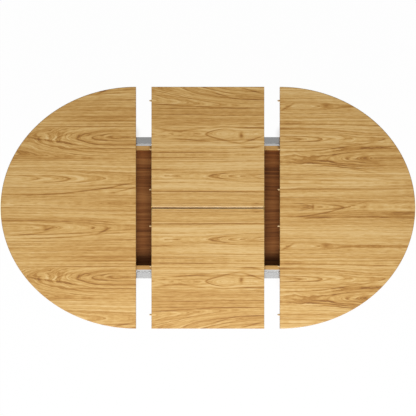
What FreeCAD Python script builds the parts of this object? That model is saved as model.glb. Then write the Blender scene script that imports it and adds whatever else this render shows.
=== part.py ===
import FreeCAD, Part
import math
import os
import Sketcher

# An extending dining table, pulled out, with its folding leaf in place.
# The origin is on the floor under the middle of the leaf: +X is the pull of the right half top,
# +Y is the rear, +Z is up. Lengths are in millimetres, angles in degrees.

SIZES = {
    # tops and leaf
    "table_height": 750,        # floor to the upper face
    "half_length": 600,         # one half top, along the pull
    "half_width": 536,          # centre line to the table's front or rear edge
    "top_thick": 22,
    "edge_round": 2,            # eased edges of the half tops
    "leaf_length": 500,         # leaf, along the pull
    "pull_gap": 69,             # between the leaf and each half top when pulled to the stops
    "leaf_round": 1.5,          # eased edges of the leaf, apart from the seam
    "seam_gap": 0.5,            # between the two boards of the leaf
    "seam_round": 5,            # rounded seam edges, concentric with the hinge pivots
    # pegs that line the tops up
    "peg_radius": 4,
    "peg_reach": 10,            # how far a peg stands out
    "peg_seat": 20,             # how deep it is glued in
    "peg_tip_radius": 2.2,
    "peg_tip_length": 5,
    "peg_near": 81,             # innermost pegs, from the centre line
    "peg_middle": 260,
    "peg_edge_inset": 61,       # outermost pegs, from the table's edge
    "socket_clear": 0.3,        # round a peg in its socket
    "socket_spare": 2,          # past the peg's tip
    # card-table hinges of the leaf
    "hinge_thick": 1.6,         # plates and links
    "hinge_clear": 0.2,
    "plate_length": 42,         # from the pivot to the plate's far end
    "link_half": 2.6,
    "pin_radius": 1.5,
    "pin_clear": 0.05,
    "hinge_screw_radius": 1.4,
    "hinge_screw_head": 2.6,
    "hinge_screw_length": 16,
    "hinge_screw_first": 14,    # from the pivot
    "hinge_screw_pitch": 18,
    # frame and tray
    "frame_length": 890,
    "tray_width": 515,
    "rail_thick": 18,
    "rail_height": 70,
    "floor_thick": 8,
    "floor_lift": 10,           # tray floor above the rails' lower edge
    "groove_depth": 5,
    "groove_clear": 0.2,
    "glide_stand": 0.5,         # glide buttons above the rails
    "glide_radius": 4.5,
    "glide_seat": 4,
    "glide_leaf_inset": 70,     # glides under the leaf, from its side edges
    "glide_end_inset": 45,      # glides under the half tops, from the frame's ends
    "frame_screw_radius": 2.5,
    "frame_screw_head": 4.5,
    "frame_screw_head_high": 4,
    "frame_screw_length": 55,
    "frame_screw_low": 6,       # above the rails' lower edge
    "frame_screw_pitch": 18,
    # telescopic slides
    "track_drop": 0.5,          # track below the rail's upper edge
    "web_thick": 6.5,
    "web_height": 38,
    "web_gap": 5.5,             # groove between the track and the middle runner
    "slide_centre": 20,         # middle of the slides below the tops
    "neck_thick": 6,
    "head_thick": 4.6,
    "head_height": 18,
    "slide_clear": 0.4,
    "lip_thick": 4,
    "runner_wide": 27,
    "runner_drop": 3,           # runner below the tops at its inner edge
    "runner_slope": 2.8,        # fall of the runner's upper face towards the outside
    "runner_base": 35,          # runner's lower face below the tops
    "runner_length": 440,
    "runner_rest": 3,           # runner's inner end from the middle, table closed
    "flange_wide": 24,
    "flange_thick": 4,
    "plate_gap": 4,             # between the runner and the carrier's upright
    "plate_thick": 3.5,
    "plate_margin": 1.6,        # carrier's upright below its stop
    "carrier_length": 440,
    "carrier_inset": 6,         # carrier's inner end from the half top's inner edge
    "stop_length": 10,
    "stop_height": 5.5,
    "stop_clear": 0.5,
    "track_screw_radius": 2,
    "track_screw_head": 3,
    "track_screw_head_high": 2,
    "track_screw_grip": 13,     # in the rail
    "track_screw_inset": 35,    # from the frame's ends
    "carrier_screw_radius": 2,
    "carrier_screw_head": 4,
    "carrier_screw_head_high": 2.5,
    "carrier_screw_grip": 12,   # in the half top
    "carrier_screw_inset": 25,  # from the carrier's ends
    # bearers and legs
    "bearer_offset": 87,        # middle of each bearer from the frame's end
    "bearer_wide": 50,
    "bearer_high": 42,
    "bearer_reach": 338,
    "bearer_round": 6,
    "bearer_screw_radius": 3,
    "bearer_screw_head": 6,
    "bearer_screw_head_high": 5,
    "bearer_screw_grip": 40,    # in the rail
    "bearer_screw_spread": 13,  # from the bearer's middle
    "leg_out": 300,             # legs from the centre line, at the bearers
    "leg_splay": 8,
    "leg_heading": 63,          # direction of the splay, from the pull
    "leg_top_radius": 23,
    "leg_foot_radius": 14,
    "tenon_radius": 13,
    "tenon_clear": 0.05,
    "foot_radius": 11,
    "foot_high": 6,
}

LEFT, RIGHT = -1, 1
FRONT, REAR = -1, 1
SIDES = {LEFT: "left", RIGHT: "right"}
ENDS = {FRONT: "front", REAR: "rear"}


class Measure:
    """A number together with the expression that binds it to the sheet."""

    def __init__(self, value, text):
        self.value = value
        self.text = text

    def joined(self, other, sign, work, turned=False):
        if not isinstance(other, Measure):
            other = Measure(float(other), repr(other))
        first, last = (other, self) if turned else (self, other)
        return Measure(work(first.value, last.value), f"({first.text} {sign} {last.text})")

    def __add__(self, other):
        return self.joined(other, "+", lambda a, b: a + b)

    def __sub__(self, other):
        return self.joined(other, "-", lambda a, b: a - b)

    def __rsub__(self, other):
        return self.joined(other, "-", lambda a, b: a - b, turned=True)

    def __mul__(self, other):
        return self.joined(other, "*", lambda a, b: a * b)

    def __truediv__(self, other):
        return self.joined(other, "/", lambda a, b: a / b)

    def __neg__(self):
        return self * -1

    __radd__ = __add__
    __rmul__ = __mul__


def sine(angle):
    return Measure(math.sin(math.radians(angle.value)), f"sin({angle.text})")


def cosine(angle):
    return Measure(math.cos(math.radians(angle.value)), f"cos({angle.text})")


class Sizes:
    """The driving dimensions, each a named cell of the document's sheet."""

    def __init__(self, document, table):
        sheet = document.addObject("Spreadsheet::Sheet", "sizes")
        for row, (name, value) in enumerate(table.items(), start=1):
            sheet.set(f"A{row}", name)
            sheet.set(f"B{row}", str(value))
            sheet.setAlias(f"B{row}", name)
            setattr(self, name, Measure(float(value), f"sizes.{name}"))


doc = FreeCAD.newDocument("extending_table")
size = Sizes(doc, SIZES)
doc.recompute()
nodes = []

# Heights above the floor
top_under = size.table_height - size.top_thick
rail_top = top_under - size.glide_stand
rail_under = rail_top - size.rail_height
floor_under = rail_under + size.floor_lift
floor_top = floor_under + size.floor_thick
bearer_under = rail_under - size.bearer_high
peg_height = size.table_height - size.top_thick / 2
pivot_height = size.table_height - size.seam_round

# Distances from the middle of the table along the pull
leaf_edge = size.leaf_length / 2
top_edge = leaf_edge + size.pull_gap
frame_end = size.frame_length / 2
bearer_out = frame_end - size.bearer_offset
runner_end = size.runner_rest + top_edge / 2
carrier_end = top_edge + size.carrier_inset

# Distances from the centre line, outwards through rail and slide
rail_inner = size.tray_width / 2
rail_middle = rail_inner + size.rail_thick / 2
rail_outer = rail_inner + size.rail_thick
web_face = rail_outer + size.web_thick
runner_inner = web_face + size.web_gap
pocket_inner = runner_inner + size.lip_thick
head_inner = pocket_inner + size.slide_clear
head_outer = head_inner + size.head_thick
wall_inner = head_outer + size.slide_clear
runner_outer = runner_inner + size.runner_wide
pocket_outer = runner_outer - size.lip_thick
tongue_outer = pocket_outer - size.slide_clear
tongue_inner = tongue_outer - size.head_thick
wall_outer = tongue_inner - size.slide_clear
plate_inner = runner_outer + size.plate_gap
plate_outer = plate_inner + size.plate_thick
flange_outer = plate_outer + size.flange_wide
pivot_out = size.seam_gap / 2 + size.seam_round
peg_places = (size.peg_near, size.peg_middle, size.half_width - size.peg_edge_inset)

# Heights in the slides
slide_middle = top_under - size.slide_centre
neck_low = slide_middle - size.neck_thick / 2
neck_high = slide_middle + size.neck_thick / 2
head_low = slide_middle - size.head_height / 2
head_high = slide_middle + size.head_height / 2
slot_low = neck_low - size.slide_clear
slot_high = neck_high + size.slide_clear
pocket_low = head_low - size.slide_clear
pocket_high = head_high + size.slide_clear
track_top = rail_top - size.track_drop
track_under = track_top - size.web_height
runner_top = top_under - size.runner_drop
runner_under = top_under - size.runner_base
stop_top = slot_low - size.stop_clear
stop_under = stop_top - size.stop_height
track_screw_height = stop_under - size.stop_clear - size.track_screw_head

# Turns that point a rod's axis, which starts along +Z, another way
TURNS = {
    "+X": ("0; 1; 0", "90"),
    "-X": ("0; 1; 0", "-90"),
    "+Y": ("1; 0; 0", "-90"),
    "-Y": ("1; 0; 0", "90"),
    "+Z": ("0; 0; 1", "0"),
    "-Z": ("1; 0; 0", "180"),
}


def text_of(measure):
    return measure.text if isinstance(measure, Measure) else repr(measure)


def bind(item, **measures):
    for name, measure in measures.items():
        item.setExpression(name, text_of(measure))
    return item


def place(item, x, y, z, axis="0; 0; 1", angle="0"):
    spot = "; ".join(text_of(part) for part in (x, y, z))
    item.setExpression("Placement", f"placement(vector({spot}); rotation(vector({axis}); {angle}))")
    return item


def keep(item, label):
    """Counts an object as a finished piece of the table."""
    item.Label = label
    nodes.append(item)
    return item


def span(sign, near, far):
    """The lower and upper limits of a stretch on one side of the middle."""
    return (near, far) if sign > 0 else (-far, -near)


def block(name, x, y, z):
    box = doc.addObject("Part::Box", name)
    bind(box, Length=x[1] - x[0], Width=y[1] - y[0], Height=z[1] - z[0])
    return place(box, x[0], y[0], z[0])


def rod(name, radius, length, start, way):
    cylinder = bind(doc.addObject("Part::Cylinder", name), Radius=radius, Height=length)
    return place(cylinder, *start, *TURNS[way])


def taper(name, first, last, length, start, way):
    cone = bind(doc.addObject("Part::Cone", name), Radius1=first, Radius2=last, Height=length)
    return place(cone, *start, *TURNS[way])


def fused(name, pieces):
    union = doc.addObject("Part::MultiFuse", name)
    union.Shapes = pieces
    union.Refine = True
    return union


def group(name, pieces):
    """Separate solids that share one node."""
    together = doc.addObject("Part::Compound", name)
    together.Links = pieces
    return together


def cut(name, base, tools):
    left = doc.addObject("Part::Cut", name)
    left.Base = base
    left.Tool = tools[0] if len(tools) == 1 else group(f"{name}_tools", tools)
    return left


def common(name, base, tool):
    shared = doc.addObject("Part::Common", name)
    shared.Base = base
    shared.Tool = tool
    return shared


def eased(name, base, radius_of):
    """Rounds edges of a solid. radius_of gives an edge's radius, or None to leave it sharp."""
    doc.recompute()
    fillet = doc.addObject("Part::Fillet", name)
    fillet.Base = base
    radii = [(number, radius_of(edge)) for number, edge in enumerate(base.Shape.Edges, start=1)]
    fillet.Edges = [(number, radius, radius) for number, radius in radii if radius]
    return fillet


def screw(name, radius, grip, head, head_high, start, way):
    """A screw whose head rests at the start, with the shank running on past it."""
    opposite = ("-" if way[0] == "+" else "+") + way[1]
    shank = rod(f"{name}_shank", radius, grip, start, way)
    cap = rod(f"{name}_head", head, head_high, start, opposite)
    return fused(name, [shank, cap])


def profile_bar(name, outline, first, last):
    """A bar of one section along the pull. The outline runs through its corners as (y, z)."""
    body = doc.addObject("PartDesign::Body", name)
    plane = next(item for item in body.Origin.OriginFeatures if item.Role == "YZ_Plane")
    sketch = body.newObject("Sketcher::SketchObject", f"{name}_section")
    sketch.AttachmentSupport = [(plane, "")]
    sketch.MapMode = "FlatFace"
    corners = [FreeCAD.Vector(y.value, z.value, 0) for y, z in outline]
    count = len(corners)
    for number in range(count):
        sketch.addGeometry(Part.LineSegment(corners[number], corners[(number + 1) % count]), False)
    for number in range(count):
        sketch.addConstraint(Sketcher.Constraint("Coincident", number, 2, (number + 1) % count, 1))
    for number, corner in enumerate(outline):
        for kind, measure in zip(("DistanceX", "DistanceY"), corner):
            rule = Sketcher.Constraint(kind, -1, 1, number, 1, measure.value)
            index = sketch.addConstraint(rule)
            sketch.setExpression(f"Constraints[{index}]", measure.text)
    pad = body.newObject("PartDesign::Pad", f"{name}_pad")
    pad.Profile = sketch
    bind(pad, Length=last - first)
    return place(body, first, 0, 0)


def spread(first, last, count):
    """Evenly spaced places from the first to the last."""
    return [first + (last - first) * (number / (count - 1)) for number in range(count)]


def peg(name, side, offset, edge):
    """A peg glued into an edge that faces left, with its tapered end standing out."""
    start = (edge + size.peg_seat, offset, peg_height)
    body = size.peg_seat + size.peg_reach - size.peg_tip_length
    tip = (edge - size.peg_reach + size.peg_tip_length, offset, peg_height)
    shaft = rod(f"{name}_shaft", size.peg_radius, body, start, side)
    point = taper(f"{name}_tip", size.peg_radius, size.peg_tip_radius, size.peg_tip_length, tip, side)
    return fused(name, [shaft, point])


def socket(name, offset, edge):
    """The hole in an edge that faces right, for a peg to enter from there."""
    depth = size.peg_reach + size.socket_spare
    return rod(name, size.peg_radius + size.socket_clear, depth, (edge, offset, peg_height), "-X")


def carrier_screws(side):
    """Screws up through the carriers' flanges into a half top."""
    near = carrier_end + size.carrier_screw_inset
    far = carrier_end + size.carrier_length - size.carrier_screw_inset
    middle = plate_outer + size.flange_wide / 2
    screws = []
    for end in ENDS:
        for number, x in enumerate(spread(near, far, 4)):
            start = (side * x, end * middle, top_under - size.flange_thick)
            screws.append(screw(f"{SIDES[side]}_{ENDS[end]}_carrier_screw_{number}",
                                size.carrier_screw_radius, size.carrier_screw_grip + size.flange_thick,
                                size.carrier_screw_head, size.carrier_screw_head_high, start, "+Z"))
    return keep(group(f"{SIDES[side]}_carrier_screws", screws), f"{SIDES[side]}_carrier_screws")


def half_top(side, screws):
    """A half-ellipse board, cut from a whole ellipse whose middle is on its inner edge."""
    name = f"{SIDES[side]}_top"
    rim = doc.addObject("Part::Ellipse", f"{name}_rim")
    long, wide = size.half_length.text, size.half_width.text
    rim.setExpression("MajorRadius", f"max({long}; {wide})")
    rim.setExpression("MinorRadius", f"min({long}; {wide})")
    # the rim starts and ends in the half that is cut away, whichever way the ellipse lies
    rim.Angle1 = rim.Angle2 = 135 if side == RIGHT else 315
    place(rim, side * top_edge, 0, top_under, angle=f"({long} >= {wide} ? 0 : 90)")
    slab = doc.addObject("Part::Extrusion", f"{name}_slab")
    slab.Base = rim
    slab.DirMode = "Custom"
    slab.Dir = FreeCAD.Vector(0, 0, 1)
    slab.Solid = True
    bind(slab, LengthFwd=size.top_thick)

    def rim_radius_of(edge):
        is_level = edge.BoundBox.ZLength < size.edge_round.value
        return size.edge_round.value if is_level else None

    oval = eased(f"{name}_oval", slab, rim_radius_of)
    half = block(f"{name}_half", span(side, top_edge, top_edge + size.half_length * 2),
                 (-size.half_width * 2, size.half_width * 2), (top_under, size.table_height))

    def inner_radius_of(edge):
        is_inner = abs(edge.CenterOfMass.x - side * top_edge.value) < size.edge_round.value
        lies_across = edge.BoundBox.YLength > size.half_width.value
        return size.edge_round.value if is_inner and lies_across else None

    board = common(f"{name}_board", oval, eased(f"{name}_inner", half, inner_radius_of))
    offsets = [end * out for out in peg_places for end in ENDS]
    if side == RIGHT:
        pegs = [peg(f"{name}_peg_{number}", "-X", offset, top_edge)
                for number, offset in enumerate(offsets)]
        keep(group(f"{name}_pegs", pegs), f"{name}_pegs")
        holes = pegs
    else:
        holes = [socket(f"{name}_socket_{number}", offset, -top_edge)
                 for number, offset in enumerate(offsets)]
    keep(cut(name, board, [screws] + holes), name)


def hinge_layers(side):
    """Limits along the pull of a hinge's plates, links and recess at one edge of the leaf."""
    plate = span(side, leaf_edge - size.hinge_thick, leaf_edge)
    link_far = leaf_edge - size.hinge_thick - size.hinge_clear
    link = span(side, link_far - size.hinge_thick, link_far)
    recess = span(side, link_far - size.hinge_thick - size.hinge_clear, leaf_edge)
    return plate, link, recess


def hinge_screws(end):
    """Screws through the hinge plates of one board of the leaf."""
    name = f"leaf_{ENDS[end]}_hinge_screws"
    screws = []
    for side, way in ((LEFT, "+X"), (RIGHT, "-X")):
        for number in range(2):
            out = pivot_out + size.hinge_screw_first + size.hinge_screw_pitch * number
            start = (side * leaf_edge, end * out, pivot_height)
            label = f"{name}_{SIDES[side]}_{number}"
            shank = rod(f"{label}_shank", size.hinge_screw_radius, size.hinge_screw_length, start, way)
            head = taper(f"{label}_head", size.hinge_screw_head, size.hinge_screw_radius,
                         size.hinge_thick, start, way)
            screws.append(fused(label, [shank, head]))
    return keep(group(name, screws), name)


def hinge_plates(end, screws):
    """The two hinge plates of one board of the leaf, flush with its side edges."""
    name = f"leaf_{ENDS[end]}_hinge_plates"
    half = size.seam_round - size.hinge_clear
    plates = []
    for side in SIDES:
        label = f"{name}_{SIDES[side]}"
        layer = hinge_layers(side)[0]
        strap = block(f"{label}_strap", layer, span(end, pivot_out, pivot_out + size.plate_length),
                      (pivot_height - half, pivot_height + half))
        eye = rod(f"{label}_eye", half, size.hinge_thick, (layer[0], end * pivot_out, pivot_height), "+X")
        hole = rod(f"{label}_hole", size.pin_radius + size.pin_clear, size.hinge_thick,
                   (layer[0], end * pivot_out, pivot_height), "+X")
        plates.append(cut(label, fused(f"{label}_blank", [strap, eye]), [hole, screws]))
    keep(group(name, plates), name)


def hinge_links():
    """The links and pins that join the two boards of the leaf, one link at each side edge."""
    links, pins = [], []
    for side in SIDES:
        label = f"hinge_link_{SIDES[side]}"
        plate, layer, _ = hinge_layers(side)
        strap = block(f"{label}_strap", layer, (-pivot_out, pivot_out),
                      (pivot_height - size.link_half, pivot_height + size.link_half))
        pivots = [(layer[0], end * pivot_out, pivot_height) for end in ENDS]
        eyes = [rod(f"{label}_eye_{number}", size.link_half, size.hinge_thick, pivot, "+X")
                for number, pivot in enumerate(pivots)]
        pin_start = layer[0] if side > 0 else plate[0]
        pin_length = size.hinge_thick * 2 + size.hinge_clear
        here = [rod(f"{label}_pin_{number}", size.pin_radius, pin_length, (pin_start, *pivot[1:]), "+X")
                for number, pivot in enumerate(pivots)]
        pins += here
        links.append(cut(label, fused(f"{label}_blank", [strap] + eyes), here))
    keep(group("hinge_links", links), "hinge_links")
    keep(group("hinge_pins", pins), "hinge_pins")


def hinge_recesses(end):
    """Cuts in one board of the leaf: a shallow one for each plate and a deeper one where the link turns."""
    over = size.table_height + size.seam_round
    tools = []
    for side in SIDES:
        label = f"leaf_{ENDS[end]}_recess_{SIDES[side]}"
        plate, _, deep = hinge_layers(side)
        half = size.seam_round - size.hinge_clear
        room = size.link_half + size.hinge_clear * 2
        strap = block(f"{label}_strap", plate, span(end, 0, pivot_out + size.plate_length),
                      (pivot_height - half, over))
        corner = block(f"{label}_corner", deep, span(end, 0, pivot_out + room),
                       (pivot_height - room, over))
        tools.append(fused(label, [strap, corner]))
    return tools


def leaf_blank(name, end):
    """A board of the leaf: one prism rounded along the seam and the outer edge, one along the sides."""
    seam = size.seam_gap / 2
    heights = (top_under, size.table_height)
    along = block(f"{name}_along", (-size.leaf_length, size.leaf_length),
                  span(end, seam, size.half_width), heights)
    across = block(f"{name}_across", (-leaf_edge, leaf_edge),
                   (-size.half_width * 2, size.half_width * 2), heights)

    def along_radius_of(edge):
        middle = edge.CenterOfMass
        if edge.BoundBox.XLength < size.leaf_length.value:
            return None
        by_seam = abs(middle.y) < size.half_width.value / 2
        return size.seam_round.value if by_seam and middle.z > peg_height.value else size.leaf_round.value

    def across_radius_of(edge):
        return size.leaf_round.value if edge.BoundBox.YLength > size.half_width.value else None

    return common(f"{name}_blank", eased(f"{name}_rolled", along, along_radius_of),
                  eased(f"{name}_eased", across, across_radius_of))


def leaf_board(end):
    """One board of the folding leaf, with its pegs, sockets and hinge plates."""
    name = f"leaf_{ENDS[end]}"
    screws = hinge_screws(end)
    hinge_plates(end, screws)
    pegs, sockets = [], []
    for number, offset in enumerate(peg_places):
        pegs.append(peg(f"{name}_peg_{number}", "-X", end * offset, -leaf_edge))
        sockets.append(socket(f"{name}_socket_{number}", end * offset, leaf_edge))
    keep(group(f"{name}_pegs", pegs), f"{name}_pegs")
    hollow = cut(f"{name}_hollow", leaf_blank(name, end), hinge_recesses(end))
    keep(cut(name, hollow, [screws] + pegs + sockets), name)


def frame_screws():
    """Two screws through the long rails at each corner of the frame."""
    screws = []
    for side in SIDES:
        for end, way in ((FRONT, "+Y"), (REAR, "-Y")):
            for number in range(2):
                height = rail_under + size.frame_screw_low + size.frame_screw_pitch * number
                start = (side * (frame_end - size.rail_thick / 2),
                         end * (rail_outer - size.frame_screw_head_high), height)
                screws.append(screw(f"frame_screw_{SIDES[side]}_{ENDS[end]}_{number}",
                                    size.frame_screw_radius, size.frame_screw_length,
                                    size.frame_screw_head, size.frame_screw_head_high, start, way))
    return keep(group("frame_screws", screws), "frame_screws")


def bearer_screws():
    """Screws up through each bearer into the rails, with their heads sunk flush."""
    screws = []
    for side in SIDES:
        for end in ENDS:
            for number, shift in enumerate((-size.bearer_screw_spread, size.bearer_screw_spread)):
                start = (side * (bearer_out + shift), end * rail_middle,
                         bearer_under + size.bearer_screw_head_high)
                grip = size.bearer_high - size.bearer_screw_head_high + size.bearer_screw_grip
                screws.append(screw(f"bearer_screw_{SIDES[side]}_{ENDS[end]}_{number}",
                                    size.bearer_screw_radius, grip, size.bearer_screw_head,
                                    size.bearer_screw_head_high, start, "+Z"))
    return keep(group("bearer_screws", screws), "bearer_screws")


def rail_glides():
    """Buttons let into the rails, which carry the leaf and let the half tops slide."""
    inner = leaf_edge - size.glide_leaf_inset
    outer = frame_end - size.glide_end_inset
    glides = []
    for end in ENDS:
        for number, x in enumerate((-outer, -inner, inner, outer)):
            start = (x, end * rail_middle, rail_top - size.glide_seat)
            glides.append(rod(f"glide_{ENDS[end]}_{number}", size.glide_radius,
                              size.glide_seat + size.glide_stand, start, "+Z"))
    return keep(group("rail_glides", glides), "rail_glides")


def track_screws():
    """Screws through each track's web into its rail, with their heads in the groove."""
    near = size.track_screw_inset - frame_end
    screws = []
    for end, way in ((FRONT, "+Y"), (REAR, "-Y")):
        for number, x in enumerate(spread(near, -near, 5)):
            start = (x, end * web_face, track_screw_height)
            screws.append(screw(f"track_screw_{ENDS[end]}_{number}", size.track_screw_radius,
                                size.web_thick + size.track_screw_grip, size.track_screw_head,
                                size.track_screw_head_high, start, way))
    return keep(group("track_screws", screws), "track_screws")


def tray():
    """The frame round the tray: two long rails, two end rails and the floor in their grooves."""
    corner_screws = frame_screws()
    lower_screws = bearer_screws()
    glides = rail_glides()
    side_screws = track_screws()
    groove = (floor_under - size.groove_clear, floor_top + size.groove_clear)
    edge = size.groove_depth - size.groove_clear
    inner_end = frame_end - size.rail_thick
    keep(block("tray_floor", (-inner_end - edge, inner_end + edge), (-rail_inner - edge, rail_inner + edge),
               (floor_under, floor_top)), "tray_floor")
    for end in ENDS:
        name = f"{ENDS[end]}_rail"
        board = block(f"{name}_board", (-frame_end, frame_end), span(end, rail_inner, rail_outer),
                      (rail_under, rail_top))
        slot = block(f"{name}_slot", (-frame_end, frame_end),
                     span(end, rail_inner, rail_inner + size.groove_depth), groove)
        keep(cut(name, board, [slot, corner_screws, lower_screws, glides, side_screws]), name)
        track(end, side_screws)
    for side in SIDES:
        name = f"{SIDES[side]}_end_rail"
        board = block(f"{name}_board", span(side, inner_end, frame_end), (-rail_inner, rail_inner),
                      (rail_under, rail_top))
        slot = block(f"{name}_slot", span(side, inner_end, inner_end + size.groove_depth),
                     (-rail_inner, rail_inner), groove)
        keep(cut(name, board, [slot, corner_screws]), name)
        bearer(side, lower_screws)


def track(end, screws):
    """The fixed member of a slide: a web on the rail with a T-shaped tongue."""
    name = f"{ENDS[end]}_track"
    outline = [(rail_outer, track_under), (web_face, track_under), (web_face, neck_low),
               (head_inner, neck_low), (head_inner, head_low), (head_outer, head_low),
               (head_outer, head_high), (head_inner, head_high), (head_inner, neck_high),
               (web_face, neck_high), (web_face, track_top), (rail_outer, track_top)]
    bar = profile_bar(f"{name}_bar", [(end * y, z) for y, z in outline], -frame_end, frame_end)
    keep(cut(name, bar, [screws]), name)


def runner(side, end):
    """The middle member of a slide, which grips the track and holds the carrier."""
    name = f"{SIDES[side]}_{ENDS[end]}_runner"
    outline = [(runner_inner, runner_under), (runner_outer, runner_under), (runner_outer, slot_low),
               (pocket_outer, slot_low), (pocket_outer, pocket_low), (wall_outer, pocket_low),
               (wall_outer, pocket_high), (pocket_outer, pocket_high), (pocket_outer, slot_high),
               (runner_outer, slot_high), (runner_outer, runner_top - size.runner_slope),
               (runner_inner, runner_top), (runner_inner, slot_high), (pocket_inner, slot_high),
               (pocket_inner, pocket_high), (wall_inner, pocket_high), (wall_inner, pocket_low),
               (pocket_inner, pocket_low), (pocket_inner, slot_low), (runner_inner, slot_low)]
    first, last = span(side, runner_end, runner_end + size.runner_length)
    keep(profile_bar(name, [(end * y, z) for y, z in outline], first, last), name)


def carrier(side, end, screws):
    """The member of a slide under a half top: a T-shaped tongue on an angle."""
    name = f"{SIDES[side]}_{ENDS[end]}_carrier"
    foot = stop_under - size.plate_margin
    flange_under = top_under - size.flange_thick
    outline = [(tongue_inner, head_low), (tongue_outer, head_low), (tongue_outer, neck_low),
               (plate_inner, neck_low), (plate_inner, foot), (plate_outer, foot), (plate_outer, flange_under),
               (flange_outer, flange_under), (flange_outer, top_under), (plate_inner, top_under),
               (plate_inner, neck_high), (tongue_outer, neck_high), (tongue_outer, head_high),
               (tongue_inner, head_high)]
    first, last = span(side, carrier_end, carrier_end + size.carrier_length)
    bar = profile_bar(f"{name}_bar", [(end * y, z) for y, z in outline], first, last)
    keep(cut(name, bar, [screws]), name)


def stop(name, side, end, near, inner, outer):
    """A stop block, between two distances from the centre line."""
    return block(name, span(side, near, near + size.stop_length), span(end, inner, outer),
                 (stop_under, stop_top))


def slide_stops():
    """Pairs of blocks that meet when the table is pulled right out."""
    on_track = []
    for side in SIDES:
        on_runner, on_carrier = [], []
        for end in ENDS:
            label = f"{SIDES[side]}_{ENDS[end]}_stop"
            on_runner.append(stop(f"{label}_tab", side, end, runner_end,
                                  web_face + size.stop_clear, runner_inner))
            on_track.append(stop(f"{label}_track", side, end, runner_end + size.stop_length,
                                 web_face, runner_inner - size.stop_clear))
            on_carrier.append(stop(f"{label}_carrier", side, end, carrier_end,
                                   runner_outer + size.stop_clear, plate_inner))
            on_runner.append(stop(f"{label}_catch", side, end, carrier_end + size.stop_length,
                                  runner_outer, plate_inner - size.stop_clear))
        keep(group(f"{SIDES[side]}_runner_stops", on_runner), f"{SIDES[side]}_runner_stops")
        keep(group(f"{SIDES[side]}_carrier_stops", on_carrier), f"{SIDES[side]}_carrier_stops")
    keep(group("track_stops", on_track), "track_stops")


def leg_place(side, end, item, along):
    """Stands an object on a leg's axis, a distance above the leg's top and square to that axis."""
    lean_x = side * sine(size.leg_splay) * cosine(size.leg_heading)
    lean_y = end * sine(size.leg_splay) * sine(size.leg_heading)
    rise = cosine(size.leg_splay)
    axis = f"{(end * sine(size.leg_heading)).text}; {(-side * cosine(size.leg_heading)).text}; 0"
    return place(item, side * bearer_out - lean_x * along, end * size.leg_out - lean_y * along,
                 bearer_under + rise * along, axis, size.leg_splay.text)


def tenon(name, side, end, radius):
    """The round end of a leg, long enough to pass right through its bearer on the slant."""
    over = size.leg_top_radius
    length = over * 2 + size.bearer_high / cosine(size.leg_splay)
    cylinder = bind(doc.addObject("Part::Cylinder", name), Radius=radius, Height=length)
    return leg_place(side, end, cylinder, -over)


def slab_between(name, low, high):
    """A level slab, wider than the table, that trims a slanted piece flat."""
    reach = size.frame_length
    return block(name, (-reach, reach), (-reach, reach), (low, high))


def leg(side, end):
    """A round leg that tapers to the floor, with a tenon through its bearer and a foot below."""
    name = f"{SIDES[side]}_{ENDS[end]}_leg"
    over = size.leg_top_radius
    axis_length = bearer_under / cosine(size.leg_splay)
    growth = (size.leg_top_radius - size.leg_foot_radius) / axis_length
    cone = bind(doc.addObject("Part::Cone", f"{name}_taper"),
                Radius1=size.leg_foot_radius - growth * over, Radius2=size.leg_top_radius + growth * over,
                Height=axis_length + over * 2)
    leg_place(side, end, cone, -axis_length - over)
    shaft = common(f"{name}_shaft", cone, slab_between(f"{name}_trim", size.foot_high, bearer_under))
    end_piece = common(f"{name}_tenon", tenon(f"{name}_round", side, end, size.tenon_radius),
                       slab_between(f"{name}_tenon_trim", size.foot_high, rail_under))
    keep(fused(name, [shaft, end_piece]), name)
    drop = (bearer_under - size.foot_high) * sine(size.leg_splay) / cosine(size.leg_splay)
    spot = (side * (bearer_out + drop * cosine(size.leg_heading)),
            end * (size.leg_out + drop * sine(size.leg_heading)), 0)
    foot = f"{SIDES[side]}_{ENDS[end]}_foot"
    keep(rod(foot, size.foot_radius, size.foot_high, spot, "+Z"), foot)


def bearer(side, screws):
    """A cross beam under the frame, with its lower edges rounded and its legs let in."""
    name = f"{SIDES[side]}_bearer"
    half = size.bearer_wide / 2
    beam = block(f"{name}_beam", span(side, bearer_out - half, bearer_out + half),
                 (-size.bearer_reach, size.bearer_reach), (bearer_under, rail_under))
    middle = (bearer_under.value + rail_under.value) / 2

    def radius_of(edge):
        lies_across = edge.BoundBox.XLength > size.bearer_wide.value / 2
        is_low = edge.CenterOfMass.z < middle
        return size.bearer_round.value if lies_across and is_low else None

    rounded = eased(f"{name}_rounded", beam, radius_of)
    holes = [tenon(f"{name}_hole_{ENDS[end]}", side, end, size.tenon_radius + size.tenon_clear)
             for end in ENDS]
    keep(cut(name, rounded, holes + [screws]), name)
    for end in ENDS:
        leg(side, end)


def write_parts():
    doc.recompute()
    for item in doc.Objects:
        if "Invalid" in item.State or "Error" in item.State:
            raise RuntimeError(f"{item.Name} did not recompute: {item.State}")
    for item in nodes:
        if item.Shape.isNull() or not item.Shape.isValid() or not item.Shape.Solids:
            raise RuntimeError(f"{item.Label} has no sound solid")
    os.makedirs("parts", exist_ok=True)
    for item in nodes:
        item.Shape.exportStep(f"parts/{item.Label}.step")
        print(item.Label, len(item.Shape.Solids), round(item.Shape.Volume))


for turn in SIDES:
    half_screws = carrier_screws(turn)
    half_top(turn, half_screws)
    for edge_of in ENDS:
        runner(turn, edge_of)
        carrier(turn, edge_of, half_screws)
for edge_of in ENDS:
    leaf_board(edge_of)
hinge_links()
tray()
slide_stops()
write_parts()
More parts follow.
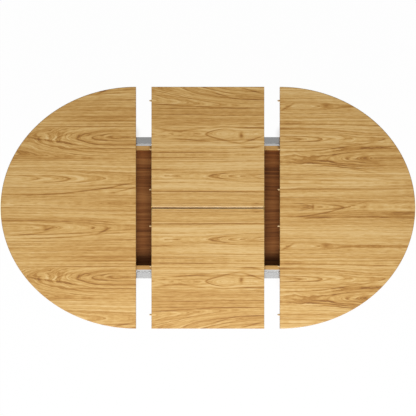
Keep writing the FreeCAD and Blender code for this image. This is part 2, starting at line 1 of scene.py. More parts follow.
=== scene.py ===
import bpy
import bmesh
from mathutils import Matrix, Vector


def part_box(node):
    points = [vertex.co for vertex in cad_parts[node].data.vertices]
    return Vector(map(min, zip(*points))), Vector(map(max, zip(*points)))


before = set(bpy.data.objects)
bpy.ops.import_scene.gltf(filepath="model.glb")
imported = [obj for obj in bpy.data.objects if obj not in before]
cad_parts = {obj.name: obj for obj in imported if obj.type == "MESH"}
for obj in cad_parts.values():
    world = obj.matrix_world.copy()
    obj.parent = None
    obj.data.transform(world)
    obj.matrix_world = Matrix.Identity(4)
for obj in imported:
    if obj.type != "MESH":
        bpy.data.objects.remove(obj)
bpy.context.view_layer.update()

print("frame loaded,", len(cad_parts), "pieces")


class Nodes:
    # a node tree under construction, with short calls for the nodes it is made of
    def __init__(self, tree):
        self.tree = tree
        self.coords = tree.nodes.new("ShaderNodeTexCoord").outputs

    def feed(self, socket, value):
        if isinstance(value, bpy.types.NodeSocket):
            self.tree.links.new(value, socket)
        else:
            socket.default_value = value

    def work(self, operation, *values):
        node = self.tree.nodes.new("ShaderNodeMath")
        node.operation = operation
        for socket, value in zip(node.inputs, values):
            self.feed(socket, value)
        return node.outputs[0]

    def axes(self, vector):
        node = self.tree.nodes.new("ShaderNodeSeparateXYZ")
        self.feed(node.inputs[0], vector)
        return node.outputs[0], node.outputs[1], node.outputs[2]

    def seen(self):
        # 1 for what the camera sees, straight or in metal and glass
        rays = self.tree.nodes.new("ShaderNodeLightPath").outputs
        bounced = self.work("MAXIMUM", rays["Is Glossy Ray"], rays["Is Transmission Ray"])
        return self.work("MAXIMUM", rays["Is Camera Ray"], bounced)


class Finish(Nodes):
    # the nodes of a new material
    def __init__(self, name):
        self.material = bpy.data.materials.new(name)
        self.material.use_nodes = True
        super().__init__(self.material.node_tree)
        self.shader = next(node for node in self.tree.nodes if node.type == "BSDF_PRINCIPLED")
        self.place = self.coords["Object"]

    def point(self, x, y, z):
        node = self.tree.nodes.new("ShaderNodeCombineXYZ")
        for socket, value in zip(node.inputs, (x, y, z)):
            self.feed(socket, value)
        return node.outputs[0]

    def within(self, value, middle, reach):
        # 0 at the middle, 1 and -1 at the reach
        return self.work("DIVIDE", self.work("SUBTRACT", value, middle), reach)

    def squares(self, first, last):
        return self.work("MULTIPLY_ADD", first, first, self.work("MULTIPLY", last, last))

    def bell(self, far):
        # 1 at no distance, falling off smoothly
        return self.work("EXPONENT", self.work("MULTIPLY", far, -1.0))

    def stir(self, value, noise, weight):
        # shifts a value by a noise, as much up as down
        return self.work("MULTIPLY_ADD", self.work("SUBTRACT", noise, 0.5), weight, value)

    def mix(self, first, last, share):
        return self.work("MULTIPLY_ADD", first, share, self.work("MULTIPLY", last, 1.0 - share))

    def noise(self, vector, stretch, detail, rough, shift=(0, 0, 0)):
        mapping = self.tree.nodes.new("ShaderNodeMapping")
        self.feed(mapping.inputs["Vector"], vector)
        mapping.inputs["Location"].default_value = shift
        mapping.inputs["Scale"].default_value = stretch
        node = self.tree.nodes.new("ShaderNodeTexNoise")
        self.feed(node.inputs["Vector"], mapping.outputs[0])
        node.inputs["Scale"].default_value = 1.0
        node.inputs["Detail"].default_value = detail
        node.inputs["Roughness"].default_value = rough
        return node.outputs[0]

    def fade(self, value, low, high, out=(0.0, 1.0)):
        node = self.tree.nodes.new("ShaderNodeMapRange")
        node.interpolation_type = "SMOOTHSTEP"
        self.feed(node.inputs[0], value)
        for socket, number in zip(node.inputs[1:5], (low, high, *out)):
            socket.default_value = number
        return node.outputs[0]

    def ramp(self, value, stops):
        node = self.tree.nodes.new("ShaderNodeValToRGB")
        self.feed(node.inputs[0], value)
        elements = node.color_ramp.elements
        while len(elements) < len(stops):
            elements.new(0.5)
        for element, (position, colour) in zip(elements, stops):
            element.position = position
            element.color = (*colour, 1)
        return node.outputs[0]

    def blend(self, factor, first, last):
        node = self.tree.nodes.new("ShaderNodeMix")
        node.data_type = "RGBA"
        self.feed(node.inputs[0], factor)
        for socket, value in zip(node.inputs[6:8], (first, last)):
            self.feed(socket, value if isinstance(value, bpy.types.NodeSocket) else (*value, 1))
        return node.outputs[2]

    def bump(self, height, strength, depth):
        node = self.tree.nodes.new("ShaderNodeBump")
        node.inputs["Strength"].default_value = strength
        node.inputs["Distance"].default_value = depth
        self.feed(node.inputs["Height"], height)
        self.feed(self.shader.inputs["Normal"], node.outputs[0])

    def set(self, **values):
        for name, value in values.items():
            self.feed(self.shader.inputs[name.replace("_", " ")], value)
        return self.material


def dress(nodes, finish):
    for node in nodes:
        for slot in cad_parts[node].material_slots:
            slot.material = finish


# oak veneer of the tops: yearly rings round the hearts of the figure, with drawn loops, streaks and knots
oakTops = {
    "tones": ((0.0, (0.270, 0.103, 0.008)), (0.25, (0.430, 0.197, 0.027)), (0.5, (0.570, 0.310, 0.076)),
              (0.75, (0.700, 0.435, 0.142)), (1.0, (0.815, 0.570, 0.255))),
    "rings": 46.0,         # rings in a metre across the grain
    "drift": 0.8,          # how far they wander
    "merge": 0.03,         # how softly the rings of two hearts meet
    "sheet": 0.62,         # width of the sheets of veneer on the half tops
    # noise along the rings: stretch, detail, roughness and how far it shifts the tone
    "layers": {
        "bands": ((0.8, 0.20, 1.0), 2.0, 0.5, 0.95),
        "lines": ((0.9, 1.6, 1.0), 3.0, 0.6, 0.55),
        "fine": ((1.6, 6.0, 2.0), 3.0, 0.6, 0.95),
        "fibres": ((30.0, 7.0, 2.0), 2.0, 0.6, 0.80),
    },
    "pores": (0.30, 0.46, -0.15),      # where the noise of the pores starts and ends, and their tone
    # rate, sharpness and depth of the rings
    "growth": ((0.45, 3.5, 0.32), (1.30, 3.0, 0.33), (2.60, 2.5, 0.38), (5.20, 1.8, 0.34)),
    "uneven": 2.2,         # how far the rings stray from even widths
    "faint": (0.32, 0.68),      # from the faintest to the strongest rings
    "palest": 0.92,        # palest tone between the rings
    "loopPoint": 1.5,      # 1 gives the loops sharp ends, 2 round ones
    "loopWidth": 0.0019,
    "sway": 0.010,         # how far the drawn loops and streaks sway
    "endTones": ((0.3, (0.27, 0.135, 0.045)), (0.7, (0.47, 0.265, 0.095))),
    "endFacing": (0.55, 0.92),      # how squarely a face looks along the pull where end grain shows
    "oval": (0.600, 0.536),      # length and half width of the half tops
    "ovalWear": (0.9925, 0.9990), "leafWear": (0.5325, 0.5355),      # where the worn edge begins and is full
    "wear": 0.55,
    "wearTone": (0.40, 0.215, 0.070),
    "roughness": (0.50, 0.36),      # of the dark and of the pale wood
    "bump": (0.16, 0.0003),
    "specular": 0.65,
}

# where the figure lies on each board, x along the pull and v across the sheet of veneer
# hearts are v, x of the tip, how fast the rings sink to the left and to the right of it,
# the most they sink and how unevenly
# loops are x, v, half length, half width, the end that shows (-1 left, 1 right) and depth
# streaks are x, v, slope, bow, half length, width and depth, which is below 0 for a pale streak
# knots are x, v, half length, half width and depth
leftTop = {
    "seed": (3.1, 0.4, 0.0), "base": 0.83, "contrast": 1.0,
    "start": -0.267,       # y where a sheet of veneer starts
    "inner": -0.319,       # x of the straight edge
    "hearts": (
        (0.312, -0.398, 0.19, 0.0, 0.08, 0.026), (0.128, -0.855, 0.0, 0.07, 0.03, 0.006),
        (-0.089, -0.900, 0.0, 0.06, 0.03, 0.005),
    ),
    "loops": (
        (-0.56, 0.311, 0.10, 0.020, -1, 0.22), (-0.52, 0.311, 0.095, 0.016, -1, 0.18),
        (-0.485, 0.311, 0.09, 0.012, -1, 0.18), (-0.42, 0.318, 0.05, 0.012, -1, 0.24),
        (-0.40, 0.314, 0.035, 0.008, -1, 0.22), (-0.713, 0.127, 0.10, 0.016, 1, 0.44),
        (-0.834, 0.130, 0.09, 0.012, 1, 0.38),
    ),
    "streaks": (
        (-0.70, 0.297, -0.15, 0.0, 0.12, 0.0040, 0.44), (-0.45, 0.262, 0.0, 0.0, 0.16, 0.0030, 0.42),
        (-0.42, 0.216, 0.0, 0.0, 0.14, 0.0022, 0.28), (-0.62, 0.066, 0.090, 0.22, 0.36, 0.0030, 0.52),
        (-0.37, 0.078, 0.22, 0.0, 0.06, 0.0024, 0.44), (-0.62, -0.050, 0.0, 0.0, 0.34, 0.0160, 0.12),
        (-0.62, -0.129, 0.07, 0.10, 0.19, 0.0030, 0.50), (-0.79, -0.118, 0.10, 0.60, 0.09, 0.0030, 0.44),
        (-0.462, -0.102, 0.45, 0.0, 0.030, 0.0045, 0.50), (-0.705, -0.094, 0.40, 0.0, 0.022, 0.0040, 0.44),
        (-0.42, -0.223, 0.0, 0.0, 0.17, 0.0140, 0.15), (-0.45, -0.236, 0.0, 0.0, 0.25, 0.0030, 0.36),
        (-0.55, -0.168, 0.03, 0.0, 0.14, 0.0028, 0.30), (-0.50, 0.307, 0.0, 0.0, 0.30, 0.0140, -0.15),
    ),
    "knots": ((-0.508, -0.090, 0.009, 0.0055, 0.56), (-0.723, -0.088, 0.011, 0.0055, 0.34)),
}
rightTop = {
    "seed": (8.7, 2.2, 0.0), "base": 0.85, "contrast": 1.0,
    "start": -0.150,
    "inner": 0.319,
    "hearts": (
        (0.220, 0.780, 0.119, 0.0, 0.030, 0.016), (0.304, 0.330, 0.0, 0.08, 0.03, 0.010),
        (0.003, 0.380, 0.0, 0.07, 0.02, 0.006), (0.450, 0.420, 0.10, 0.10, 0.015, 0.005),
    ),
    "loops": (
        (0.75, 0.216, 0.222, 0.050, -1, 0.20), (0.74, 0.216, 0.17, 0.034, -1, 0.14),
        (0.73, 0.218, 0.12, 0.024, -1, 0.20), (0.66, 0.224, 0.05, 0.010, -1, 0.24),
        (0.328, 0.302, 0.08, 0.012, 1, 0.30), (0.455, 0.306, 0.09, 0.012, 1, 0.30),
        (0.55, 0.310, 0.09, 0.012, 1, 0.28), (0.40, 0.003, 0.06, 0.014, 1, 0.40),
        (0.41, 0.004, 0.038, 0.007, 1, 0.28),
    ),
    "streaks": (
        (0.56, 0.262, 0.12, 0.30, 0.25, 0.0026, 0.42), (0.70, 0.206, -0.06, 0.0, 0.075, 0.0130, 0.22),
        (0.45, 0.124, -0.02, 0.0, 0.26, 0.0030, 0.38), (0.52, -0.022, 0.20, 0.45, 0.15, 0.0028, 0.48),
        (0.48, -0.043, 0.05, 0.0, 0.06, 0.0050, 0.46), (0.41, 0.369, 0.0, 0.0, 0.14, 0.0028, 0.32),
        (0.352, 0.446, 0.50, 0.0, 0.028, 0.0045, 0.44), (0.57, 0.184, -0.155, -0.20, 0.17, 0.0030, 0.40),
        (0.44, 0.106, -0.01, 0.0, 0.20, 0.0026, 0.30), (0.78, 0.264, 0.0, 0.0, 0.10, 0.0090, 0.18),
        (0.87, -0.024, 0.05, 0.0, 0.07, 0.0060, 0.34), (0.50, 0.208, -0.04, 0.0, 0.14, 0.0026, 0.28),
        (0.50, 0.385, 0.0, 0.0, 0.30, 0.0280, -0.12),
    ),
    "knots": (
        (0.520, 0.451, 0.021, 0.0085, 0.66), (0.690, 0.221, 0.024, 0.0085, 0.28),
        (0.466, 0.004, 0.0055, 0.0110, 0.50),
    ),
}
# the two boards of the leaf are book-matched, so v is the distance from the seam
leaf = {
    "seed": (14.3, 5.6, 0.0), "base": 0.85, "contrast": 1.10,
    "hearts": (
        (0.140, 0.240, 0.08, 0.0, 0.02, 0.007), (0.327, 0.075, 0.22, 0.22, 0.014, 0.009),
        (0.575, 0.270, 0.22, 0.0, 0.11, 0.012),
    ),
    "loops": (
        (0.0735, 0.3265, 0.082, 0.024, -1, 0.50), (0.075, 0.141, 0.06, 0.012, -1, 0.32),
        (0.25, 0.139, 0.05, 0.010, -1, 0.34),
    ),
    "streaks": (
        (0.0, 0.070, 0.0, 0.0, 0.40, 0.0022, 0.32), (0.02, 0.445, -0.03, 0.12, 0.30, 0.0034, 0.42),
        (0.02, 0.412, -0.01, 0.0, 0.30, 0.0024, 0.32), (-0.135, 0.3412, 0.0, 1.0, 0.10, 0.0046, 0.46),
        (-0.08, 0.300, -0.067, 0.0, 0.10, 0.0030, 0.40), (0.205, 0.3035, 0.32, 1.2, 0.055, 0.0030, 0.44),
        (0.195, 0.267, 0.03, 2.4, 0.050, 0.0050, 0.50), (0.21, 0.352, -0.02, 0.0, 0.06, 0.0036, 0.36),
        (0.015, 0.5125, -0.27, 0.0, 0.075, 0.0032, 0.42), (0.195, 0.520, -0.26, -0.40, 0.065, 0.0030, 0.40),
        (-0.10, 0.487, -0.10, 0.0, 0.12, 0.0028, 0.32), (-0.12, 0.372, 0.02, 0.0, 0.12, 0.0028, 0.28),
        (0.09, 0.294, -0.19, 0.0, 0.075, 0.0030, 0.38), (-0.15, 0.322, -0.02, 0.0, 0.17, 0.0300, 0.13),
        (0.0, 0.016, 0.0, 0.0, 0.40, 0.0100, -0.24),
    ),
    "knots": (
        (0.216, 0.018, 0.012, 0.0040, 0.30), (0.148, 0.322, 0.0090, 0.0115, 0.66),
        (0.038, 0.1434, 0.016, 0.0036, 0.26), (0.194, 0.147, 0.014, 0.0042, 0.30),
    ),
    # painted shade: the gap of the seam and the roundings beside it, wider on the front board, drawn darker
    # as if in shadow
    "seam": {"leaf_rear": (0.0010, 0.0024), "leaf_front": (0.0028, 0.0056)},      # where its painted shade fades out
    "seamShade": 0.85,
    "seamShadeTone": (0.130, 0.075, 0.058),
    "seamHighlight": (0.0068, 0.0030, 0.85),      # middle, half width and strength of the painted highlight, a pale line on the rear board's rounding behind the seam
    "seamHighlightTone": (0.840, 0.600, 0.290),
}


def knot(finish, x, v, middle, reach):
    # 1 at the middle of an oval spot, falling off smoothly
    along = finish.within(x, middle[0], reach[0])
    up = finish.within(v, middle[1], reach[1])
    return finish.bell(finish.squares(along, up))


def streak(finish, x, v, middle, slope, bow, half, width):
    # 1 on a gently bowed line, falling off across it and past its ends
    along = finish.work("SUBTRACT", x, middle[0])
    square = finish.work("MULTIPLY", along, along)
    line = finish.work("MULTIPLY_ADD", square, bow, finish.work("MULTIPLY_ADD", along, slope, middle[1]))
    ends = finish.work("DIVIDE", square, half * half)
    return finish.bell(finish.squares(finish.within(v, line, width), ends))


def loop(finish, x, v, middle, reach, end, settings):
    # 1 on the line of a pointed oval, at one end of it
    along = finish.within(x, middle[0], reach[0])
    up = finish.within(v, middle[1], reach[1])
    point = settings["loopPoint"]
    parts = [finish.work("POWER", finish.work("ABSOLUTE", part), point) for part in (along, up)]
    far = finish.work("POWER", finish.work("ADD", *parts), 1.0 / point)
    line = finish.work("MULTIPLY", finish.work("SUBTRACT", far, 1.0), reach[1] / settings["loopWidth"])
    shown = finish.fade(finish.work("MULTIPLY", along, float(end)), -0.7, 0.4)
    return finish.work("MULTIPLY", finish.bell(finish.work("MULTIPLY", line, line)), shown)


def heartRings(finish, x, v, settings, board):
    # how far a point is from the nearest heart, which lies deeper in the board away from its tip
    flat = finish.point(x, v, 0.0)
    curls = finish.noise(flat, (9.0, 22.0, 1.0), detail=3.0, rough=0.55, shift=board["seed"])
    uneven = finish.work("SUBTRACT", curls, 0.5)
    nearest = None
    for up, tip, left, right, most, curl in board["hearts"]:
        along = finish.work("SUBTRACT", x, tip)
        sides = [finish.work("MULTIPLY", along, rate) for rate in (-left, right)]
        deep = finish.work("MAXIMUM", *sides)
        deep = finish.work("MULTIPLY_ADD", uneven, curl, finish.work("SMOOTH_MIN", deep, most, 0.3 * most))
        far = finish.work("SQRT", finish.squares(finish.work("SUBTRACT", v, up), deep))
        nearest = far if nearest is None else finish.work("SMOOTH_MIN", nearest, far, settings["merge"])
    drift = finish.noise(flat, (0.6, 6.0, 1.0), detail=2.0, rough=0.5, shift=board["seed"])
    drift = finish.work("MULTIPLY", finish.work("SUBTRACT", drift, 0.5), settings["drift"])
    return finish.work("MULTIPLY_ADD", nearest, settings["rings"], drift)


def growth(finish, grain, ring, rate, sharpness, settings, seed):
    # yearly rings that darken slowly and end at a sharp line, some strong and some faint
    uneven = finish.noise(grain, (0.6, 0.6 * rate, 1.0), detail=2.0, rough=0.5, shift=seed)
    stray = finish.work("MULTIPLY", uneven, settings["uneven"])
    phase = finish.work("FRACT", finish.work("MULTIPLY_ADD", ring, rate, stray))
    shift = (seed[1], seed[0], 1.7)
    strength = finish.noise(grain, (1.1, 0.9 * rate, 1.0), detail=1.0, rough=0.5, shift=shift)
    strength = finish.fade(strength, *settings["faint"])
    return finish.work("MULTIPLY", finish.work("POWER", phase, sharpness), strength)


def oakBoard(node, settings, board):
    finish = Finish(node + "_oak")
    seed = board["seed"]
    x, y, z = finish.axes(finish.place)
    if board is leaf:
        v = finish.work("ABSOLUTE", y)
    else:
        v = finish.work("WRAP", y, board["start"] + settings["sheet"], board["start"])
    ring = heartRings(finish, x, v, settings, board)
    grain = finish.point(x, ring, finish.work("MULTIPLY", v, 6.0))
    tone = board["base"]
    layers = {}
    for name, (stretch, detail, rough, weight) in settings["layers"].items():
        layers[name] = finish.noise(grain, stretch, detail, rough, seed)
        tone = finish.stir(tone, layers[name], weight)
    pores = finish.noise(grain, (26.0, 22.0, 4.0), detail=2.0, rough=0.6, shift=seed)
    low, high, poreTone = settings["pores"]
    tone = finish.work("ADD", finish.fade(pores, low, high, (poreTone, 0.0)), tone)
    for rate, sharpness, depth in settings["growth"]:
        darker = growth(finish, grain, ring, rate, sharpness, settings, seed)
        tone = finish.work("MULTIPLY_ADD", darker, -depth * board["contrast"], tone)
    tone = finish.work("MINIMUM", tone, settings["palest"])
    sway = finish.noise(finish.point(x, v, 0.0), (6.0, 9.0, 1.0), detail=2.0, rough=0.5, shift=seed)
    swayed = finish.stir(v, sway, settings["sway"])
    for left, up, long, wide, end, depth in board["loops"]:
        mark = loop(finish, x, swayed, (left, up), (long, wide), end, settings)
        tone = finish.work("MULTIPLY_ADD", mark, -depth, tone)
    for left, up, slope, bow, half, width, depth in board["streaks"]:
        mark = streak(finish, x, swayed, (left, up), slope, bow, half, width)
        tone = finish.work("MULTIPLY_ADD", mark, -depth, tone)
    for left, up, long, wide, depth in board["knots"]:
        mark = knot(finish, x, v, (left, up), (long, wide))
        tone = finish.work("MULTIPLY_ADD", mark, -depth, tone)
    colour = finish.ramp(tone, settings["tones"])
    # end grain shows where a face looks along the pull
    across = finish.work("ABSOLUTE", finish.axes(finish.coords["Normal"])[0])
    ends = finish.noise(finish.place, (60.0, 420.0, 620.0), detail=2.0, rough=0.6, shift=seed)
    shown = finish.fade(across, *settings["endFacing"])
    colour = finish.blend(shown, colour, finish.ramp(ends, settings["endTones"]))
    # painted shade on the roundings of the seam and a painted highlight behind it, and the eased edges are
    # worn a little browner
    if board is leaf:
        # painted shade along the seam, wider on the front board, whose rounding faces away from the lamp
        seamShaded = finish.fade(v, *board["seam"][node], (board["seamShade"], 0.0))
        colour = finish.blend(seamShaded, colour, board["seamShadeTone"])
        # a painted highlight on the rear board's rounding, which faces the lamp in front
        if node == "leaf_rear":
            middle, half, strength = board["seamHighlight"]
            off = finish.work("ABSOLUTE", finish.work("SUBTRACT", y, middle))
            colour = finish.blend(finish.fade(off, 0.0, half, (strength, 0.0)), colour, board["seamHighlightTone"])
        worn = finish.fade(v, *settings["leafWear"], (0.0, settings["wear"]))
    else:
        length, halfWidth = settings["oval"]
        rim = finish.squares(finish.within(x, board["inner"], length), finish.work("DIVIDE", y, halfWidth))
        worn = finish.fade(finish.work("SQRT", rim), *settings["ovalWear"], (0.0, settings["wear"]))
    colour = finish.blend(worn, colour, settings["wearTone"])
    finish.bump(finish.mix(pores, layers["fine"], 0.6), *settings["bump"])
    return finish.set(Base_Color=colour, Roughness=finish.fade(tone, 0.2, 0.8, settings["roughness"]),
                      Specular_IOR_Level=settings["specular"])


boards = {"left_top": leftTop, "right_top": rightTop, "leaf_rear": leaf, "leaf_front": leaf}
for node, board in boards.items():
    dress((node,), oakBoard(node, oakTops, board))
print("tops and leaf finished")

# plain oak of the frame and the base, with the grain along each piece
oakRails = {
    "tones": ((0.0, (0.24, 0.100, 0.024)), (0.5, (0.50, 0.268, 0.076)), (1.0, (0.70, 0.440, 0.150))),
    "endTones": ((0.3, (0.22, 0.105, 0.035)), (0.7, (0.40, 0.215, 0.075))),
    "endFacing": (0.7, 0.95),
    "base": 0.58,
    "rings": 70.0,         # rings in a metre
    "drift": 1.6,          # how far they wander
    "lines": 0.9, "fine": 0.55,      # how far each shifts the tone
    "pores": (0.28, 0.45, -0.14),
    "roughness": (0.58, 0.44),
    "bump": (0.2, 0.0004),
    "specular": 0.32,
    # the axis along the grain and the two across it, the seed and the pieces
    "ways": {
        "alongPull": ((0, 1, 2), (0.0, 1.9, 0.6), ("front_rail", "rear_rail")),
        "acrossPull": ((1, 0, 2), (3.7, 1.9, 0.6),
                       ("left_end_rail", "right_end_rail", "left_bearer", "right_bearer")),
        "upright": ((2, 0, 1), (7.4, 1.9, 0.6),
                    ("left_front_leg", "left_rear_leg", "right_front_leg", "right_rear_leg")),
    },
}


def plainOak(name, settings, order, seed):
    finish = Finish(name)
    parts = finish.axes(finish.place)
    along, first, last = (parts[number] for number in order)
    grain = finish.point(along, first, last)
    wander = finish.noise(grain, (2.0, 12.0, 12.0), detail=2.0, rough=0.5, shift=seed)
    across = finish.work("MULTIPLY", finish.work("ADD", first, last), settings["rings"])
    ring = finish.work("MULTIPLY_ADD", wander, settings["drift"], across)
    warped = finish.point(along, ring, finish.work("MULTIPLY", last, 14.0))
    lines = finish.noise(warped, (2.4, 1.0, 0.6), detail=3.0, rough=0.6, shift=seed)
    fine = finish.noise(warped, (7.0, 5.0, 2.0), detail=3.0, rough=0.6, shift=seed)
    pores = finish.noise(grain, (40.0, 900.0, 900.0), detail=1.0, rough=0.5, shift=seed)
    tone = finish.stir(finish.stir(settings["base"], lines, settings["lines"]), fine, settings["fine"])
    low, high, poreTone = settings["pores"]
    tone = finish.work("ADD", finish.fade(pores, low, high, (poreTone, 0.0)), tone)
    colour = finish.ramp(tone, settings["tones"])
    facing = finish.work("ABSOLUTE", finish.axes(finish.coords["Normal"])[order[0]])
    ends = finish.noise(grain, (90.0, 520.0, 520.0), detail=2.0, rough=0.6, shift=seed)
    shown = finish.fade(facing, *settings["endFacing"])
    colour = finish.blend(shown, colour, finish.ramp(ends, settings["endTones"]))
    finish.bump(finish.mix(pores, fine, 0.5), *settings["bump"])
    return finish.set(Base_Color=colour, Roughness=finish.fade(tone, 0.2, 0.9, settings["roughness"]),
                      Specular_IOR_Level=settings["specular"])


for way, (order, seed, nodes) in oakRails["ways"].items():
    dress(nodes, plainOak("oak_" + way, oakRails, order, seed))
print("rails, bearers and legs finished")

# the tray's floor: thin panel with a dark brown stain
trayPanel = {
    "tones": ((0.0, (0.075, 0.022, 0.006)), (0.45, (0.225, 0.076, 0.018)), (1.0, (0.420, 0.182, 0.052))),
    "ends": (-0.35, 0.35),      # x between which the stain darkens
    "base": (0.52, 0.39),       # tone at the left and at the right
    "rings": 60.0, "drift": 3.0,
    "bands": 0.9, "lines": 1.3, "pores": 0.5,      # how far each shifts the tone
    "roughness": (0.62, 0.46),
    "bump": (0.2, 0.0003),
    "specular": 0.14,
}


def stainedPanel(settings):
    finish = Finish("tray_stain")
    x, y, z = finish.axes(finish.place)
    wander = finish.noise(finish.place, (1.6, 9.0, 9.0), detail=2.0, rough=0.5, shift=(4.0, 1.0, 0.0))
    drift = finish.work("MULTIPLY", wander, settings["drift"])
    ring = finish.work("MULTIPLY_ADD", y, settings["rings"], drift)
    grain = finish.point(x, ring, z)
    bands = finish.noise(grain, (1.2, 0.35, 1.0), detail=2.0, rough=0.5)
    lines = finish.noise(grain, (2.2, 2.4, 1.0), detail=3.0, rough=0.6, shift=(2.0, 0.0, 0.0))
    pores = finish.noise(grain, (22.0, 16.0, 3.0), detail=2.0, rough=0.6)
    tone = finish.stir(finish.fade(x, *settings["ends"], settings["base"]), bands, settings["bands"])
    tone = finish.stir(finish.stir(tone, lines, settings["lines"]), pores, settings["pores"])
    finish.bump(pores, *settings["bump"])
    return finish.set(Base_Color=finish.ramp(tone, settings["tones"]),
                      Roughness=finish.fade(tone, 0.2, 0.9, settings["roughness"]),
                      Specular_IOR_Level=settings["specular"])


dress(("tray_floor",), stainedPanel(trayPanel))

# turned pegs of pale wood
pegWood = {
    "tones": ((0.25, (0.50, 0.325, 0.150)), (0.55, (0.66, 0.460, 0.230)), (0.8, (0.74, 0.555, 0.310))),
    "roughness": (0.64, 0.50),
    "bump": (0.15, 0.0003),
    "specular": 0.3,
    "nodes": ("right_top_pegs", "leaf_front_pegs", "leaf_rear_pegs"),
}


def paleWood(settings):
    finish = Finish("peg_beech")
    lines = finish.noise(finish.place, (40.0, 620.0, 620.0), detail=3.0, rough=0.6)
    finish.bump(lines, *settings["bump"])
    return finish.set(Base_Color=finish.ramp(lines, settings["tones"]),
                      Roughness=finish.fade(lines, 0.2, 0.8, settings["roughness"]),
                      Specular_IOR_Level=settings["specular"])


dress(pegWood["nodes"], paleWood(pegWood))
print("tray and pegs finished")

# drawn aluminium of the slides, with die lines along the pull, stamped brass of the leaf's hinges
# and zinc-plated screws
metals = {
    "track_aluminium": {
        "tones": ((0.25, (0.90, 0.90, 0.89)), (0.75, (0.97, 0.97, 0.96))), "roughness": (0.32, 0.38),
        "stretch": (4.0, 700.0, 700.0), "bump": (0.12, 0.00001),
        "nodes": ("front_track", "rear_track"),
    },
    "runner_aluminium": {
        "tones": ((0.25, (0.66, 0.66, 0.655)), (0.75, (0.76, 0.76, 0.755))), "roughness": (0.24, 0.27),
        "stretch": (4.0, 700.0, 700.0), "bump": (0.12, 0.00001),
        "nodes": [f"{side}_{end}_{piece}" for side in ("left", "right") for end in ("front", "rear")
                  for piece in ("runner", "carrier")],
    },
    "hinge_brass": {
        "tones": ((0.25, (0.46, 0.30, 0.095)), (0.75, (0.62, 0.43, 0.16))), "roughness": (0.28, 0.44),
        "stretch": (260.0, 120.0, 260.0), "bump": (0.12, 0.0002),
        "nodes": ("leaf_front_hinge_plates", "leaf_rear_hinge_plates", "hinge_links", "hinge_pins"),
    },
    "screw_zinc": {
        "tones": ((0.25, (0.48, 0.48, 0.46)), (0.75, (0.66, 0.66, 0.63))), "roughness": (0.26, 0.44),
        "stretch": (300.0, 300.0, 120.0), "bump": (0.12, 0.0002),
        "nodes": ("leaf_front_hinge_screws", "leaf_rear_hinge_screws", "frame_screws", "track_screws",
                  "left_carrier_screws", "right_carrier_screws", "bearer_screws"),
    },
}


def workedMetal(name, settings):
    finish = Finish(name)
    lines = finish.noise(finish.place, settings["stretch"], detail=3.0, rough=0.6)
    cloud = finish.noise(finish.place, (9.0, 30.0, 30.0), detail=2.0, rough=0.5, shift=(2.0, 5.0, 1.0))
    mixed = finish.mix(lines, cloud, 0.65)
    finish.bump(lines, *settings["bump"])
    return finish.set(Base_Color=finish.ramp(mixed, settings["tones"]), Metallic=1.0,
                      Roughness=finish.fade(mixed, 0.3, 0.7, settings["roughness"]))


for name, settings in metals.items():
    dress(settings["nodes"], workedMetal(name, settings))

# moulded plastic: black stops and feet, pale glides
plastics = {
    "stop_nylon": {
        "tones": ((0.3, (0.020, 0.020, 0.021)), (0.7, (0.045, 0.045, 0.046))),
        "nodes": ("track_stops", "left_runner_stops", "right_runner_stops", "left_carrier_stops",
                  "right_carrier_stops"),
    },
    "foot_plastic": {
        "tones": ((0.3, (0.030, 0.029, 0.028)), (0.7, (0.065, 0.063, 0.060))),
        "nodes": ("left_front_foot", "left_rear_foot", "right_front_foot", "right_rear_foot"),
    },
    "glide_nylon": {
        "tones": ((0.3, (0.66, 0.64, 0.58)), (0.7, (0.78, 0.765, 0.71))),
        "nodes": ("rail_glides",),
    },
}


def mouldedPlastic(name, settings):
    finish = Finish(name)
    grainy = finish.noise(finish.place, (700.0, 700.0, 700.0), detail=2.0, rough=0.6)
    cloud = finish.noise(finish.place, (60.0, 60.0, 60.0), detail=2.0, rough=0.5)
    shade = finish.mix(grainy, cloud, 0.5)
    finish.bump(grainy, 0.25, 0.0002)
    return finish.set(Base_Color=finish.ramp(shade, settings["tones"]), Specular_IOR_Level=0.4,
                      Roughness=finish.fade(shade, 0.3, 0.7, (0.42, 0.60)))


for name, settings in plastics.items():
    dress(settings["nodes"], mouldedPlastic(name, settings))
print("metal and plastic finished")

# white floor: what the camera sees of it is mostly its own white, so the shadow stays faint, but less so at
# the feet, where the smaller share of its own white lets the real shadow show more and also paints a darker
# disk round each foot as a contact shadow
floorSettings = {
    "half": 9.0, "colour": (0.93, 0.93, 0.93),
    "own": 0.98, "ownAtFeet": 0.60,      # share of its own white; the lower share at the feet partly paints a contact shadow
    "near": 0.018, "far": 0.062,         # distances from a foot between which it changes
    "feet": plastics["foot_plastic"]["nodes"],
}


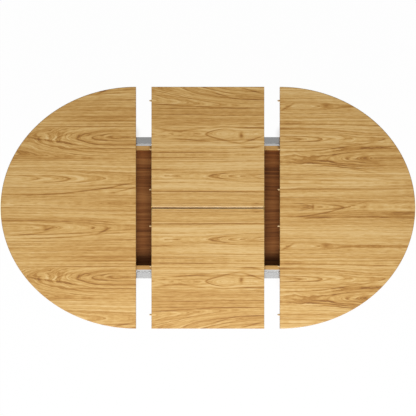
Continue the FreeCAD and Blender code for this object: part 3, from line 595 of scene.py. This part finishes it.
def paleFloor(settings):
    mesh = bpy.data.meshes.new("floor")
    shape = bmesh.new()
    bmesh.ops.create_grid(shape, x_segments=1, y_segments=1, size=settings["half"])
    shape.to_mesh(mesh)
    shape.free()
    floor = bpy.data.objects.new("floor", mesh)
    bpy.context.scene.collection.objects.link(floor)
    finish = Finish("floor_white")
    x, y, z = finish.axes(finish.place)
    own = settings["own"]
    # painted shade: round each foot the floor keeps less of its own white, so it is darker there even outside
    # the real shadow
    for node in settings["feet"]:
        low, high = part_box(node)
        aside = finish.work("SUBTRACT", x, (low[0] + high[0]) / 2)
        ahead = finish.work("SUBTRACT", y, (low[1] + high[1]) / 2)
        away = finish.work("SQRT", finish.squares(aside, ahead))
        near = finish.fade(away, settings["near"], settings["far"], (settings["ownAtFeet"], settings["own"]))
        own = finish.work("MINIMUM", own, near)
    glow = finish.tree.nodes.new("ShaderNodeEmission")
    glow.inputs["Color"].default_value = (1, 1, 1, 1)
    glow.inputs["Strength"].default_value = 1.0
    finish.set(Base_Color=(*settings["colour"], 1), Roughness=0.9, Specular_IOR_Level=0.0)
    mixer = finish.tree.nodes.new("ShaderNodeMixShader")
    finish.feed(mixer.inputs[0], finish.work("MULTIPLY", finish.seen(), own))
    finish.feed(mixer.inputs[1], finish.shader.outputs[0])
    finish.feed(mixer.inputs[2], glow.outputs[0])
    output = next(node for node in finish.tree.nodes if node.type == "OUTPUT_MATERIAL")
    finish.feed(output.inputs["Surface"], mixer.outputs[0])
    mesh.materials.append(finish.material)


paleFloor(floorSettings)

# soft studio light: a pale room that is brighter towards the front, and one large lamp there
studio = {
    "room": 0.18, "ceiling": 0.32, "lean": 0.40, "least": 0.05,
    "backdrop": (0.25, 0.40),      # heights of the view's direction where the white round the horizon ends
    "lamp": {"place": (0.0, -2.5, 2.85), "aim": (0.0, -0.1, 0.75), "width": 2.0, "depth": 1.3, "power": 99.0},
}


def lightRoom(settings):
    world = bpy.data.worlds.new("studio")
    bpy.context.scene.world = world
    world.use_nodes = True
    sky = Nodes(world.node_tree)
    x, y, z = sky.axes(sky.coords["Generated"])
    above = sky.work("MULTIPLY_ADD", sky.work("MAXIMUM", z, 0.0), settings["ceiling"], settings["room"])
    leaning = sky.work("MULTIPLY_ADD", y, -settings["lean"], above)
    low = sky.tree.nodes.new("ShaderNodeMapRange")
    for socket, value in zip(low.inputs, (z, *settings["backdrop"], 1.0, 0.0)):
        sky.feed(socket, value)
    strength = sky.tree.nodes.new("ShaderNodeMix")
    sky.feed(strength.inputs[0], sky.work("MULTIPLY", sky.seen(), low.outputs[0]))
    sky.feed(strength.inputs[2], sky.work("MAXIMUM", leaning, settings["least"]))
    strength.inputs[3].default_value = 1.0      # white
    back = next(node for node in sky.tree.nodes if node.type == "BACKGROUND")
    back.inputs["Color"].default_value = (1, 1, 1, 1)
    sky.feed(back.inputs["Strength"], strength.outputs[0])


def lightLamp(settings):
    lamp = bpy.data.lights.new("front_lamp", "AREA")
    lamp.shape = "RECTANGLE"
    lamp.size = settings["width"]
    lamp.size_y = settings["depth"]
    lamp.energy = settings["power"]
    hung = bpy.data.objects.new("front_lamp", lamp)
    hung.location = settings["place"]
    aim = Vector(settings["aim"]) - Vector(settings["place"])
    hung.rotation_euler = aim.to_track_quat("-Z", "Y").to_euler()
    bpy.context.scene.collection.objects.link(hung)


lightRoom(studio)
lightLamp(studio["lamp"])

# the camera looks straight down on the table
cameraSettings = {"place": (0.0005, -0.0012, 5.75), "sensor": 36.0, "lens": 97.67}
camera = bpy.data.cameras.new("camera")
camera.sensor_width = cameraSettings["sensor"]
camera.lens = cameraSettings["lens"]
cameraStand = bpy.data.objects.new("camera", camera)
cameraStand.location = cameraSettings["place"]
cameraStand.rotation_euler = (0, 0, 0)
bpy.context.scene.collection.objects.link(cameraStand)
bpy.context.scene.camera = cameraStand
bpy.context.scene.view_settings.view_transform = "Standard"
print("stage set")
